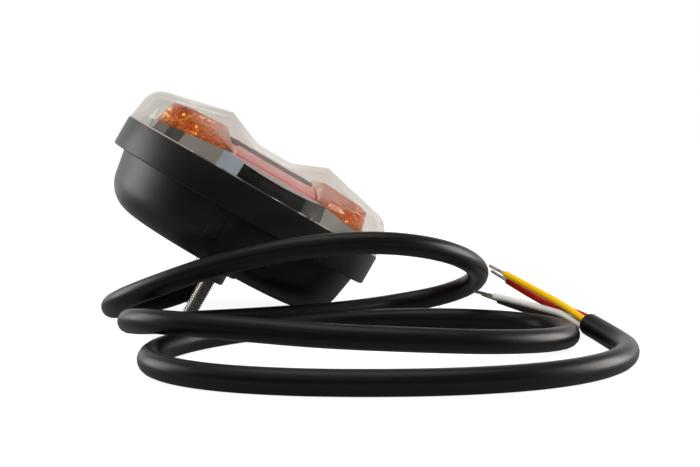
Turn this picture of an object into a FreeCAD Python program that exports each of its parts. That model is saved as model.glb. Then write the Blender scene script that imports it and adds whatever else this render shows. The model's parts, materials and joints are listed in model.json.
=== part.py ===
"""Round LED rear combination lamp with two mounting studs and a four-core lead.

Lamp frame: Z along the lamp's axis towards the lens, with Z = 0 where the lens meets the rim.
Row frame: Z up from the table. The lamp leans on its stud tips and the round edge of its back,
with the middle of its box over the origin, and its lead lies in loose loops in front of it.
"""
import FreeCAD, Part
import math
import os
import Sketcher

# Driving sizes: name, millimetres, degrees or a count, and what it sets.
DRIVING_SIZES = (
    ("rim_radius", 40.0, "outside of the housing's rim"),
    ("rim_band", 8.4, "height of the rim's outside band"),
    ("bowl_radius", 36.8, "outside of the bowl just below the rim"),
    ("foot_radius", 34.1, "where the bowl's drafted wall would meet the back"),
    ("body_depth", 23.2, "rim face to back face"),
    ("back_corner", 9.5, "round between the bowl's wall and the back"),
    ("rim_round", 0.6, "round on the rim's lower edge"),
    ("wall", 2.0, "housing wall"),
    ("seat_depth", 3.6, "rim face down to the board's ledge"),
    ("ledge", 1.6, "width of the board's ledge"),
    ("rib_offset", 7.8, "middle of each bowl rib from the lamp's axis"),
    ("rib_width", 3.2, "width of a bowl rib"),
    ("rib_reach", 36.1, "outer face of the ribs from the lamp's axis"),
    ("rib_end", 16.0, "rim face down to the ribs' lower end"),
    ("lens_radius", 39.8, "outside of the lens at the rim"),
    ("lens_corner_radius", 38.1, "radius where the lens's side would meet its crown"),
    ("lens_corner_height", 10.1, "height where the lens's side would meet its crown"),
    ("lens_apex", 19.3, "height where the crown's cone would close"),
    ("lens_shoulder", 6.0, "round between the lens's side and its crown"),
    ("lens_wall", 1.4, "lens wall"),
    ("valley_floor", 11.3, "height of the valley's floor at mid-lens"),
    ("valley_half", 5.5, "half width of that floor"),
    ("valley_spread", 26.2, "half width of the valley at its open top at mid-lens"),
    ("valley_end_floor", 3.6, "height of the valley's floor at its ends"),
    ("valley_end_half", 14.5, "half width of that floor"),
    ("valley_end_spread", 450.0, "half width of the nearly level valley at its ends, at that top"),
    ("valley_top", 20.0, "height of the valley's open top"),
    ("valley_reach", 42.0, "lamp's axis to the valley's ends, beyond the lens"),
    ("insert_gap", 0.5, "room between an insert and the lens or the next insert"),
    ("skirt_gap", 1.6, "room between the lens's foot and the reflector's skirt, at its facets' corners"),
    ("skirt_foot", 3.8, "width of the reflector's foot on the rim face"),
    ("skirt_facets", 36, "facets round the skirt"),
    ("skirt_slope", 14.0, "degrees that the skirt leans in"),
    ("deck_height", 5.0, "height of the reflector's deck between the indicator inserts"),
    ("deck_half", 12.3, "half width of that level deck"),
    ("deck_edge", 2.7, "height of the sloping deck where the indicator inserts end"),
    ("deck_hollow", 1.2, "depth of the hollow under the deck"),
    ("indicator_top", 9.6, "top of the indicator inserts at their outer end"),
    ("indicator_ridge", 10.9, "top of the indicator inserts at their inner end"),
    ("indicator_inner_low", 12.6, "indicator insert's inner end at the deck"),
    ("indicator_inner_high", 15.6, "indicator insert's inner end at its top"),
    ("insert_foot_gap", 5.0, "room between the lens's foot and an insert at the deck's edge"),
    ("insert_side_gap", 5.3, "room between the lens's side and an insert at the indicator inserts' top"),
    ("stop_top", 7.7, "level top of the stop insert"),
    ("optic_radius", 2.4, "radius of the light pocket under each diode"),
    ("optic_depth", 2.2, "depth of the light pocket in an insert"),
    ("indicator_led_x", 22.0, "indicator diodes from the lamp's axis"),
    ("indicator_led_pitch", 13.0, "spacing of the indicator diodes"),
    ("stop_led_x", 6.0, "stop diodes from the lamp's axis, along the bar"),
    ("stop_led_y", 13.0, "stop diodes from the lamp's axis, across the bar"),
    ("led_length", 3.5, "board diode length"),
    ("led_width", 2.8, "board diode width"),
    ("led_height", 1.4, "board diode height"),
    ("bar_length", 28.0, "tail bar length"),
    ("bar_width", 7.0, "tail bar width"),
    ("bar_height", 1.5, "tail bar height"),
    ("tail_led_side", 1.7, "side of a tail diode"),
    ("tail_led_height", 0.3, "height of a tail diode"),
    ("tail_led_count", 9, "tail diodes in the row"),
    ("tail_led_pitch", 2.6, "spacing of the tail diodes"),
    ("board_thickness", 1.6, "circuit board thickness"),
    ("board_gap", 0.3, "room round the circuit board"),
    ("resistor_length", 6.3, "ballast resistor length"),
    ("resistor_width", 3.2, "ballast resistor width"),
    ("resistor_height", 0.6, "ballast resistor height"),
    ("resistor_x", 18.0, "row of resistors from the lamp's axis"),
    ("resistor_pitch", 7.0, "spacing of the resistors"),
    ("stud_spacing", 30.0, "distance between the two studs"),
    ("stud_radius", 2.0, "stud outside, at the crests of its thread"),
    ("stud_core", 1.62, "stud inside its nut and the housing, at the roots of its thread"),
    ("stud_length", 16.0, "stud beyond the back face"),
    ("stud_grip", 5.0, "stud inside the back face"),
    ("stud_chamfer", 0.5, "chamfer on the stud's tip"),
    ("stud_clearance", 0.05, "room between a stud and its hole"),
    ("boss_radius", 4.5, "stud boss inside the housing"),
    ("boss_height", 4.5, "stud boss above the housing's floor"),
    ("washer_radius", 6.0, "washer outside"),
    ("washer_bore", 2.15, "washer bore radius"),
    ("washer_thickness", 1.0, "washer thickness"),
    ("nut_across", 7.0, "nut across its flats"),
    ("nut_height", 3.2, "nut height"),
    ("nut_turn", 10.0, "degrees that the nuts are turned on their studs"),
    ("gland_flange_radius", 6.2, "gland flange inside the housing"),
    ("gland_flange", 1.5, "thickness of that flange"),
    ("gland_neck", 4.4, "gland through the back wall"),
    ("gland_collar", 5.4, "gland collar on the back face"),
    ("gland_tip", 3.6, "gland at its mouth"),
    ("gland_nose", 3.5, "gland beyond the back face"),
    ("lead_ring", 1.4, "board leads from the lamp's axis, each way"),
    ("cable_radius", 2.75, "outside of the cable's sheath"),
    ("core_radius", 0.85, "outside of a core's insulation"),
    ("core_ring", 0.95, "cores from the cable's middle, each way"),
    ("tip_radius", 0.45, "tinned end of a core"),
    ("tip_length", 6.0, "length of a tinned end"),
    ("lead_out", 5.5, "straight stretch of cable at the gland"),
    ("core_out", 3.0, "straight stretch of each core at the cable's end"),
    ("lie_yaw", 10.3, "degrees that the lamp is turned on the table"),
)

doc = FreeCAD.newDocument("rear_combination_lamp")
sheet = doc.addObject("Spreadsheet::Sheet", "sizes")
for row, (alias, value, note) in enumerate(DRIVING_SIZES, start=1):
    sheet.set(f"A{row}", alias)
    sheet.set(f"B{row}", str(value))
    sheet.set(f"C{row}", note)
    sheet.setAlias(f"B{row}", alias)
doc.recompute()


class Size:
    """A number and the sheet expression that gives it, so that both stay in step."""

    def __init__(self, value, text):
        self.value = value
        self.text = text

    def __add__(self, other):
        other = as_size(other)
        return Size(self.value + other.value, f"({self.text} + {other.text})")

    def __sub__(self, other):
        other = as_size(other)
        return Size(self.value - other.value, f"({self.text} - {other.text})")

    def __mul__(self, other):
        other = as_size(other)
        return Size(self.value * other.value, f"({self.text} * {other.text})")

    def __truediv__(self, other):
        other = as_size(other)
        return Size(self.value / other.value, f"({self.text} / {other.text})")

    def __neg__(self):
        return self * -1.0


def as_size(number):
    """A plain number as a size of its own."""
    if isinstance(number, Size):
        return number
    return Size(float(number), f"{number:.12f}")


class Sizes:
    """The sheet's cells by alias."""

    def __getattr__(self, alias):
        return Size(float(sheet.get(alias)), f"sizes.{alias}")


size = Sizes()
NONE = as_size(0)
NEAR = 1e-6
EDGE_SLACK = 1e-3
FULL_TURN = 360.0


# Sketches and features

def bind(target, path, amount):
    """Ties one property of an object to a size."""
    target.setExpression(path, as_size(amount).text)


def bind_point(sketch, geometry, vertex, x, y):
    """Ties a sketch point to its two coordinates: geometry -1 and -2 are the sketch's own axes."""
    for kind, axis, place in (("DistanceX", -2, as_size(x)), ("DistanceY", -1, as_size(y))):
        if abs(place.value) < NEAR:
            sketch.addConstraint(Sketcher.Constraint("PointOnObject", geometry, vertex, axis))
        else:
            rule = Sketcher.Constraint(kind, -1, 1, geometry, vertex, place.value)
            index = sketch.addConstraint(rule)
            bind(sketch, f"Constraints[{index}]", place)


def new_sketch(body, name, role, lift):
    """An empty sketch on one of the body's origin planes, lifted along the plane's normal."""
    sketch = body.newObject("Sketcher::SketchObject", name)
    plane = next(item for item in body.Origin.OriginFeatures if item.Role == role)
    sketch.AttachmentSupport = [(plane, "")]
    sketch.MapMode = "FlatFace"
    lift = as_size(lift)
    sketch.AttachmentOffset = FreeCAD.Placement(FreeCAD.Vector(0, 0, lift.value), FreeCAD.Rotation())
    bind(sketch, "AttachmentOffset.Base.z", lift)
    return sketch


def outline(body, name, role, points, lift=NONE):
    """A closed outline of straight sides."""
    sketch = new_sketch(body, name, role, lift)
    corners = [FreeCAD.Vector(as_size(x).value, as_size(y).value, 0) for x, y in points]
    for start, end in zip(corners, corners[1:] + corners[:1]):
        sketch.addGeometry(Part.LineSegment(start, end))
    for side in range(len(corners)):
        follower = (side + 1) % len(corners)
        sketch.addConstraint(Sketcher.Constraint("Coincident", side, 2, follower, 1))
    for side, (x, y) in enumerate(points):
        bind_point(sketch, side, 1, x, y)
    return sketch


def circles(body, name, role, rounds, lift=NONE):
    """Circles given as middle x, middle y and radius."""
    sketch = new_sketch(body, name, role, lift)
    up = FreeCAD.Vector(0, 0, 1)
    for x, y, radius in rounds:
        middle = FreeCAD.Vector(as_size(x).value, as_size(y).value, 0)
        geometry = sketch.addGeometry(Part.Circle(middle, up, radius.value))
        bind_point(sketch, geometry, 3, x, y)
        index = sketch.addConstraint(Sketcher.Constraint("Radius", geometry, radius.value))
        bind(sketch, f"Constraints[{index}]", radius)
    return sketch


def rectangle(low_x, high_x, low_y, high_y):
    """The four corners of a rectangle."""
    return [(low_x, low_y), (high_x, low_y), (high_x, high_y), (low_x, high_y)]


def feature(body, kind, name, sketch, **settings):
    """A PartDesign feature of a sketch, its sizes bound to the sheet."""
    made = body.newObject(f"PartDesign::{kind}", name)
    made.Profile = sketch
    for setting, amount in settings.items():
        if isinstance(amount, Size):
            bind(made, setting, amount)
        else:
            setattr(made, setting, amount)
    doc.recompute()
    return made


def turned(body, kind, name, points):
    """A Revolution or Groove of an outline in the XZ plane about the lamp's axis."""
    sketch = outline(body, f"{name}_outline", "XZ_Plane", points)
    return feature(body, kind, name, sketch, ReferenceAxis=(sketch, ["V_Axis"]), Angle=FULL_TURN)


def round_edges(body, name, radius, chosen):
    """A fillet on the edges of the body's tip that the test picks."""
    base = body.Tip
    names = [f"Edge{n}" for n, edge in enumerate(base.Shape.Edges, start=1) if chosen(edge)]
    if not names:
        raise ValueError(f"{name} has no edge to round")
    made = body.newObject("PartDesign::Fillet", name)
    made.Base = (base, names)
    bind(made, "Radius", radius)
    doc.recompute()
    return made


def ring_at(radius, height):
    """A test for the round edge of that radius and height about the lamp's axis."""
    def chosen(edge):
        curve = edge.Curve
        if not isinstance(curve, Part.Circle):
            return False
        off_axis = math.hypot(curve.Center.x, curve.Center.y)
        off_size = abs(curve.Radius - radius.value) + abs(curve.Center.z - height.value)
        return off_axis + off_size < EDGE_SLACK
    return chosen


def upright(edge):
    """A test for a straight edge along the lamp's axis."""
    if not isinstance(edge.Curve, Part.Line):
        return False
    direction = edge.Curve.Direction
    return abs(abs(direction.z) - 1) < NEAR


lamp_pieces = {}


def keep(piece, x=NONE, y=NONE):
    """Hands a piece of the lamp in, shifted across the lamp's axis."""
    lamp_pieces[piece.Label] = (piece, FreeCAD.Vector(x.value, y.value, 0))


def new_body(label):
    return doc.addObject("PartDesign::Body", label)


def block(name, middle_x, middle_y, base, length, width, height):
    """A box by the middle of its base."""
    box = doc.addObject("Part::Box", name)
    bind(box, "Length", length)
    bind(box, "Width", width)
    bind(box, "Height", height)
    bind(box, "Placement.Base.x", middle_x - length / 2)
    bind(box, "Placement.Base.y", middle_y - width / 2)
    bind(box, "Placement.Base.z", base)
    return box


def group(label, members):
    """Like pieces that stay separate solids in one node."""
    made = doc.addObject("Part::Compound", label)
    made.Links = members
    doc.recompute()
    keep(made)


# Housing: one moulding with an overhanging rim, a drafted bowl, two ribs each side and a board ledge

back = -size.body_depth
floor = size.wall - size.body_depth
ledge_height = -size.seat_depth
seat_radius = size.bowl_radius - size.wall
pocket_radius = seat_radius - size.ledge
floor_radius = size.foot_radius - size.wall
stud_places = (size.stud_spacing / -2, size.stud_spacing / 2)

housing = new_body("housing")
turned(housing, "Revolution", "bowl", [
    (0, 0),
    (size.rim_radius, 0),
    (size.rim_radius, -size.rim_band),
    (size.bowl_radius, -size.rim_band),
    (size.foot_radius, back),
    (0, back),
])
turned(housing, "Groove", "cavity", [
    (0, 0),
    (seat_radius, 0),
    (seat_radius, ledge_height),
    (pocket_radius, ledge_height),
    (floor_radius, floor),
    (0, floor),
])
round_edges(housing, "floor_edge", size.back_corner - size.wall, ring_at(floor_radius, floor))
round_edges(housing, "back_edge", size.back_corner, ring_at(size.foot_radius, back))
round_edges(housing, "rim_edge", size.rim_round, ring_at(size.rim_radius, -size.rim_band))
for depth_name, lift, reverse in (("near", pocket_radius, False), ("far", -pocket_radius, True)):
    for side_name, side in (("left", -1.0), ("right", 1.0)):
        name = f"{depth_name}_{side_name}_rib"
        rib = outline(housing, f"{name}_outline", "XZ_Plane", rectangle(
            size.rib_offset * side - size.rib_width / 2,
            size.rib_offset * side + size.rib_width / 2,
            -size.rib_end,
            size.rim_band / -2,
        ), lift)
        feature(housing, "Pad", name, rib, Reversed=reverse, Length=size.rib_reach - pocket_radius)
boss_rounds = [(0, y, size.boss_radius) for y in stud_places]
bosses = circles(housing, "boss_circles", "XY_Plane", boss_rounds, floor)
feature(housing, "Pad", "stud_bosses", bosses, Length=size.boss_height)
stud_hole = size.stud_core + size.stud_clearance
holes = circles(housing, "stud_circles", "XY_Plane", [(0, y, stud_hole) for y in stud_places], back)
feature(housing, "Pocket", "stud_holes", holes, Reversed=True, Length=size.stud_grip + size.stud_clearance)
gland_hole = circles(housing, "gland_circle", "XY_Plane", [(0, 0, size.gland_neck)], back)
feature(housing, "Pocket", "gland_opening", gland_hole, Reversed=True, Length=size.wall)
keep(housing)


# Lens: a clear dome welded to the rim face, with a valley across it that widens towards both edges

def cut_valley(body, drop):
    """The saddle-shaped valley, lowered by the given amount."""
    sections = []
    stations = (
        ("near", size.valley_reach, size.valley_end_half, size.valley_end_floor, size.valley_end_spread),
        ("middle", NONE, size.valley_half, size.valley_floor, size.valley_spread),
        ("far", -size.valley_reach, size.valley_end_half, size.valley_end_floor, size.valley_end_spread),
    )
    for name, lift, half, height, spread in stations:
        sections.append(outline(body, f"valley_{name}", "XZ_Plane", [
            (-half, height - drop),
            (half, height - drop),
            (spread, size.valley_top - drop),
            (-spread, size.valley_top - drop),
        ], lift))
    feature(body, "SubtractiveLoft", "valley", sections[0], Sections=sections[1:])


def dome_outline(body, inset, base):
    """Half of the lens's section: a drafted side, a round shoulder and a conical crown."""
    corner = (size.lens_corner_radius - inset, size.lens_corner_height - inset)
    foot = (size.lens_radius - inset, base)
    apex = (NONE, size.lens_apex - inset)
    shoulder = size.lens_shoulder - inset
    bend, low, high = (FreeCAD.Vector(x.value, y.value, 0) for x, y in (corner, foot, apex))
    side_way = (low - bend).normalize()
    crown_way = (high - bend).normalize()
    half = side_way.getAngle(crown_way) / 2
    trim = shoulder.value / math.tan(half)
    middle = bend + (side_way + crown_way).normalize() * (shoulder.value / math.sin(half))
    side_end = bend + side_way * trim
    crown_start = bend + crown_way * trim
    angles = [math.atan2(end.y - middle.y, end.x - middle.x) for end in (side_end, crown_start)]
    round_part = Part.Circle(middle, FreeCAD.Vector(0, 0, 1), shoulder.value)
    axis_foot = FreeCAD.Vector(0, base.value, 0)

    sketch = new_sketch(body, "dome_outline", "XZ_Plane", NONE)
    floor_line = sketch.addGeometry(Part.LineSegment(axis_foot, low))
    side_line = sketch.addGeometry(Part.LineSegment(low, side_end))
    arc = sketch.addGeometry(Part.ArcOfCircle(round_part, *angles))
    crown_line = sketch.addGeometry(Part.LineSegment(crown_start, high))
    axis_line = sketch.addGeometry(Part.LineSegment(high, axis_foot))
    corner_point = sketch.addGeometry(Part.Point(bend), True)
    for first, second in ((floor_line, side_line), (crown_line, axis_line), (axis_line, floor_line)):
        sketch.addConstraint(Sketcher.Constraint("Coincident", first, 2, second, 1))
    sketch.addConstraint(Sketcher.Constraint("Tangent", side_line, 2, arc, 1))
    sketch.addConstraint(Sketcher.Constraint("Tangent", arc, 2, crown_line, 1))
    for line in (side_line, crown_line):
        sketch.addConstraint(Sketcher.Constraint("PointOnObject", corner_point, 1, line))
    bind_point(sketch, floor_line, 1, NONE, base)
    bind_point(sketch, side_line, 1, *foot)
    bind_point(sketch, axis_line, 1, *apex)
    bind_point(sketch, corner_point, 1, *corner)
    index = sketch.addConstraint(Sketcher.Constraint("Radius", arc, shoulder.value))
    bind(sketch, f"Constraints[{index}]", shoulder)
    return sketch


def dome(label, inset, base, drop):
    """The lens's turned form, set in by the given wall, with its valley."""
    body = new_body(label)
    sketch = dome_outline(body, inset, base)
    feature(body, "Revolution", "dome", sketch, ReferenceAxis=(sketch, ["V_Axis"]), Angle=FULL_TURN)
    cut_valley(body, drop)
    return body


WALL_ON_SLOPE = 1.05
valley_drop = size.lens_wall * WALL_ON_SLOPE
insert_drop = valley_drop + size.insert_gap
lens = doc.addObject("Part::Cut", "lens")
lens.Base = dome("lens_outside", NONE, NONE, NONE)
lens.Tool = dome("lens_inside", size.lens_wall, -size.lens_wall, valley_drop)
doc.recompute()
keep(lens)


# Reflector: an aluminised moulding that stands on the rim face, with a faceted skirt and a roof-like deck

insert_low_radius = size.lens_radius - size.lens_wall - size.insert_foot_gap
insert_high_radius = size.lens_corner_radius - size.lens_wall - size.insert_side_gap
deck_run = insert_low_radius - size.deck_half
deck_fall = (size.deck_height - size.deck_edge) / deck_run
deck_end_height = size.deck_height - deck_fall * (size.rim_radius - size.deck_half)
SIDES = (-1.0, 1.0)
STEPS = (-1, 0, 1)
indicator_led_places = [
    (size.indicator_led_x * side, size.indicator_led_pitch * step) for side in SIDES for step in STEPS
]
stop_led_places = [
    (size.stop_led_x * along, size.stop_led_y * across) for along in SIDES for across in SIDES
]

reflector = new_body("reflector")
skirt_radius = size.lens_radius - size.lens_wall - size.skirt_gap
facets = round(size.skirt_facets.value)
facet_angles = [2 * math.pi * (step + 0.5) / facets for step in range(facets)]
skirt = outline(reflector, "skirt_outline", "XY_Plane", [
    (skirt_radius * math.cos(angle), skirt_radius * math.sin(angle)) for angle in facet_angles
])
feature(reflector, "Pad", "skirt", skirt, Length=size.deck_height, TaperAngle=-size.skirt_slope)
for name, side in (("left_roof", -1.0), ("right_roof", 1.0)):
    above_roof = outline(reflector, f"{name}_outline", "XZ_Plane", [
        (size.deck_half * side, size.deck_height),
        (size.rim_radius * side, deck_end_height),
        (size.rim_radius * side, size.deck_height),
    ])
    feature(reflector, "Pocket", name, above_roof, SideType="Symmetric", Length=size.rim_radius * 2)
hollow = circles(reflector, "hollow_circle", "XY_Plane", [(0, 0, skirt_radius - size.skirt_foot)])
feature(reflector, "Pocket", "hollow", hollow, Reversed=True, Length=size.deck_hollow)
windows = circles(reflector, "window_circles", "XY_Plane", [
    (x, y, size.optic_radius) for x, y in indicator_led_places + stop_led_places
])
feature(reflector, "Pocket", "windows", windows, Reversed=True, Length=size.deck_height)
cut_valley(reflector, insert_drop)
keep(reflector)


# Inserts: two amber indicator blocks and a red stop block that stand on the deck under the lens

BEYOND_RIM = 1.5


def trim_insert(body, top):
    """Turns the insert's outside to the round of the lens."""
    lean = (insert_low_radius - insert_high_radius) / (size.indicator_top - size.deck_edge)
    clear = size.rim_radius * BEYOND_RIM
    above = top + size.lens_wall
    turned(body, "Groove", "outside", [
        (insert_low_radius + lean * size.deck_edge, 0),
        (clear, 0),
        (clear, above),
        (insert_high_radius - lean * (above - size.indicator_top), above),
    ])


def light_pockets(body, places, base):
    """Round pockets above the diodes, from the deck up into the insert."""
    rounds = [(x, y, size.optic_radius) for x, y in places]
    pockets = circles(body, "optic_circles", "XY_Plane", rounds, base)
    feature(body, "Pocket", "optics", pockets, Reversed=True, Length=size.optic_depth)


indicator_low_height = size.deck_height - deck_fall * (size.indicator_inner_low - size.deck_half)
ridge_run = insert_high_radius - size.indicator_inner_high
ridge_slope = (size.indicator_ridge - size.indicator_top) / ridge_run
ridge_fall = ridge_slope * (size.rim_radius - insert_high_radius)
indicator_led_run = size.indicator_led_x + size.optic_radius - size.deck_half
indicator_led_height = size.deck_height - deck_fall * indicator_led_run
for label, side in (("indicator_insert_left", -1.0), ("indicator_insert_right", 1.0)):
    insert = new_body(label)
    shape = outline(insert, "block_outline", "XZ_Plane", [
        (size.indicator_inner_low * side, indicator_low_height),
        (size.rim_radius * side, deck_end_height),
        (size.rim_radius * side, size.indicator_top - ridge_fall),
        (insert_high_radius * side, size.indicator_top),
        (size.indicator_inner_high * side, size.indicator_ridge),
    ])
    feature(insert, "Pad", "block", shape, SideType="Symmetric", Length=size.rim_radius * 2)
    trim_insert(insert, size.indicator_ridge)
    cut_valley(insert, insert_drop)
    places = [(size.indicator_led_x * side, size.indicator_led_pitch * step) for step in STEPS]
    light_pockets(insert, places, indicator_led_height)
    keep(insert)

stop_insert = new_body("stop_insert")
stop_half = size.deck_half - size.insert_gap
stop_block = outline(stop_insert, "block_outline", "XZ_Plane", rectangle(
    -stop_half, stop_half, size.deck_height, size.stop_top,
))
feature(stop_insert, "Pad", "block", stop_block, SideType="Symmetric", Length=size.rim_radius * 2)
trim_insert(stop_insert, size.stop_top)
cut_valley(stop_insert, insert_drop)
light_pockets(stop_insert, stop_led_places, size.deck_height)
keep(stop_insert)


# Tail bar: a grey carrier with round ends on the stop insert, and its row of diodes

tail_bar = new_body("tail_bar")
bar = outline(tail_bar, "bar_outline", "XY_Plane", rectangle(
    size.bar_length / -2, size.bar_length / 2, size.bar_width / -2, size.bar_width / 2,
), size.stop_top)
feature(tail_bar, "Pad", "bar", bar, Length=size.bar_height)
END_ROUND_SHARE = 0.48
round_edges(tail_bar, "bar_ends", size.bar_width * END_ROUND_SHARE, upright)
keep(tail_bar)

tail_count = round(size.tail_led_count.value)
tail_middle = (tail_count - 1) / 2
bar_top = size.stop_top + size.bar_height
group("tail_diodes", [
    block(
        f"tail_diode_{number + 1}", size.tail_led_pitch * (number - tail_middle), NONE, bar_top,
        size.tail_led_side, size.tail_led_side, size.tail_led_height,
    ) for number in range(tail_count)
])


# Circuit board on its ledge, with its diodes, ballast resistors and leads

board_top = ledge_height + size.board_thickness
led_board = new_body("led_board")
board = circles(led_board, "board_circle", "XY_Plane", [(0, 0, seat_radius - size.board_gap)], ledge_height)
feature(led_board, "Pad", "board", board, Length=size.board_thickness)
keep(led_board)


def board_diodes(label, places):
    """Surface diodes on the board's face."""
    group(label, [
        block(f"{label}_{number}", x, y, board_top, size.led_length, size.led_width, size.led_height)
        for number, (x, y) in enumerate(places, start=1)
    ])


board_diodes("indicator_diodes_left", [place for place in indicator_led_places if place[0].value < 0])
board_diodes("indicator_diodes_right", [place for place in indicator_led_places if place[0].value > 0])
board_diodes("stop_diodes", stop_led_places)
resistor_base = ledge_height - size.resistor_height
resistor_places = [(size.resistor_x * side, size.resistor_pitch * step) for side in SIDES for step in STEPS]
group("ballast_resistors", [
    block(
        f"ballast_resistor_{number}", x, y, resistor_base,
        size.resistor_length, size.resistor_width, size.resistor_height,
    ) for number, (x, y) in enumerate(resistor_places, start=1)
])

flange_top = floor + size.gland_flange
leads = []
for number, (x_side, y_side) in enumerate(((-1.0, -1.0), (1.0, -1.0), (1.0, 1.0), (-1.0, 1.0)), start=1):
    lead = doc.addObject("Part::Cylinder", f"board_lead_{number}")
    bind(lead, "Radius", size.core_radius)
    bind(lead, "Height", ledge_height - flange_top)
    bind(lead, "Placement.Base.x", size.lead_ring * x_side)
    bind(lead, "Placement.Base.y", size.lead_ring * y_side)
    bind(lead, "Placement.Base.z", flange_top)
    leads.append(lead)
group("board_leads", leads)


# Gland: a rubber moulding in the middle of the back, with a flange inside and a tapered nose

mouth = back - size.gland_nose
gland = new_body("cable_gland")
turned(gland, "Revolution", "gland", [
    (0, flange_top),
    (size.gland_flange_radius, flange_top),
    (size.gland_flange_radius, floor),
    (size.gland_neck, floor),
    (size.gland_neck, back),
    (size.gland_collar, back),
    (size.gland_tip, mouth),
    (0, mouth),
])
keep(gland)


# Studs moulded into the back, each with a washer and a nut

stud_end = back - size.stud_length
washer_end = back - size.washer_thickness
nut_end = washer_end - size.nut_height
nut_corner = size.nut_across / math.sqrt(3)
nut_clear = nut_corner + size.washer_thickness
NUT_BEVEL_ANGLE = 30
nut_bevel = (nut_clear - size.nut_across / 2) * math.tan(math.radians(NUT_BEVEL_ANGLE))
for place, y in zip(("near", "far"), stud_places):
    stud = new_body(f"stud_{place}")
    turned(stud, "Revolution", "stud", [
        (0, back + size.stud_grip),
        (size.stud_core, back + size.stud_grip),
        (size.stud_core, nut_end),
        (size.stud_radius, nut_end),
        (size.stud_radius, stud_end + size.stud_chamfer),
        (size.stud_radius - size.stud_chamfer, stud_end),
        (0, stud_end),
    ])
    keep(stud, y=y)

    washer = new_body(f"washer_{place}")
    ring_rounds = [(0, 0, size.washer_radius), (0, 0, size.washer_bore)]
    rings = circles(washer, "rings", "XY_Plane", ring_rounds, washer_end)
    feature(washer, "Pad", "disc", rings, Length=size.washer_thickness)
    keep(washer, y=y)

    nut = new_body(f"nut_{place}")
    corner_angles = [math.radians(size.nut_turn.value + 60 * step) for step in range(6)]
    hexagon = outline(nut, "hexagon", "XY_Plane", [
        (nut_corner * math.cos(angle), nut_corner * math.sin(angle)) for angle in corner_angles
    ], nut_end)
    feature(nut, "Pad", "hex", hexagon, Length=size.nut_height)
    for name, end, inward in (("lower_bevel", nut_end, 1.0), ("upper_bevel", washer_end, -1.0)):
        turned(nut, "Groove", name, [
            (size.nut_across / 2, end),
            (nut_clear, end),
            (nut_clear, end + nut_bevel * inward),
        ])
    bore = circles(nut, "bore_circle", "XY_Plane", [(0, 0, stud_hole)], nut_end)
    feature(nut, "Pocket", "bore", bore, Reversed=True, Length=size.nut_height)
    keep(nut, y=y)


# The lamp's lie: it leans until its stud tips and the round of its back both touch the table

def corner_ring():
    """Middle of the round between the bowl's wall and the back: radius and height."""
    fall = (size.bowl_radius.value - size.foot_radius.value) / (size.body_depth.value - size.rim_band.value)
    reach = size.foot_radius.value + size.back_corner.value * fall
    return reach - size.back_corner.value * math.hypot(1, fall), back.value + size.back_corner.value


ring_radius, ring_height = corner_ring()
stud_tip_radius = size.stud_radius.value - size.stud_chamfer.value
run = ring_radius - stud_tip_radius
rise = ring_height - stud_end.value
lean = math.atan2(rise, run) - math.asin(size.back_corner.value / math.hypot(rise, run))
turn = FreeCAD.Rotation(FreeCAD.Vector(0, 0, 1), size.lie_yaw.value)
tilt = FreeCAD.Rotation(FreeCAD.Vector(0, 1, 0), math.degrees(lean))
lie = FreeCAD.Placement(FreeCAD.Vector(), turn.multiply(tilt))


def lay_down():
    """Places every piece of the lamp in its lie, with the middle of its box over the origin."""
    for piece, shift in lamp_pieces.values():
        piece.Placement = lie.multiply(FreeCAD.Placement(shift, FreeCAD.Rotation()))
    doc.recompute()
    return Part.makeCompound([piece.Shape for piece, shift in lamp_pieces.values()]).optimalBoundingBox()


box = lay_down()
lie.Base = FreeCAD.Vector(-(box.XMin + box.XMax) / 2, -(box.YMin + box.YMax) / 2, -box.ZMin)
box = lay_down()
print(f"lean {math.degrees(lean):.2f} degrees, rim centre at {lie.Base}")
print(f"lamp box {box}")


# Lead: a round sheathed cable that turns over the table and lies in three loose loops

ARC_SHARE = 0.45
VOLUME_SLACK = 0.02
CABLE_ROUTE = (
    (-20.8, -5.1, 4.4),
    (-27.8, -11.0, 3.2),
    (-33.0, -20.5, 3.6),
    (-34.0, -32.5, 5.4),
    (-29.8, -44.0, 9.0),
    (-19.0, -51.0, 13.8),
    (-3.0, -54.5, 19.6),
    (16.0, -56.0, 23.8),
    (35.0, -54.5, 25.0),
    (51.0, -48.0, 22.4),
    (61.0, -36.5, 17.0),
    (62.0, -23.5, 11.0),
    (54.0, -14.0, 6.0),
    (41.5, -13.0, 3.5),
    (27.5, -22.0, 2.8),
    (11.5, -30.0, 2.8),
    (-5.0, -36.2, 2.8),
    (-17.5, -43.8, 3.4),
    (-24.5, -55.5, 5.4),
    (-22.5, -68.5, 8.4),
    (-12.5, -79.0, 9.6),
    (3.5, -84.5, 9.2),
    (22.0, -87.0, 8.0),
    (41.2, -86.0, 7.0),
    (59.5, -81.5, 5.6),
    (74.0, -72.0, 4.2),
    (81.5, -58.5, 3.2),
    (77.5, -44.4, 2.8),
    (65.0, -36.0, 2.8),
    (48.0, -33.0, 2.8),
    (30.0, -36.5, 2.8),
    (14.0, -43.5, 2.8),
    (0.0, -53.5, 2.8),
    (-10.5, -65.5, 2.8),
    (-16.0, -79.5, 2.8),
    (-13.5, -93.0, 2.8),
    (-2.5, -103.0, 2.8),
    (13.5, -108.3, 2.8),
    (33.0, -109.6, 2.8),
    (52.5, -107.8, 2.8),
    (70.0, -102.0, 2.8),
    (83.5, -91.5, 2.8),
    (90.5, -77.5, 2.8),
    (90.2, -64.2, 2.9),
    (86.1, -53.0, 4.6),
)
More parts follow.
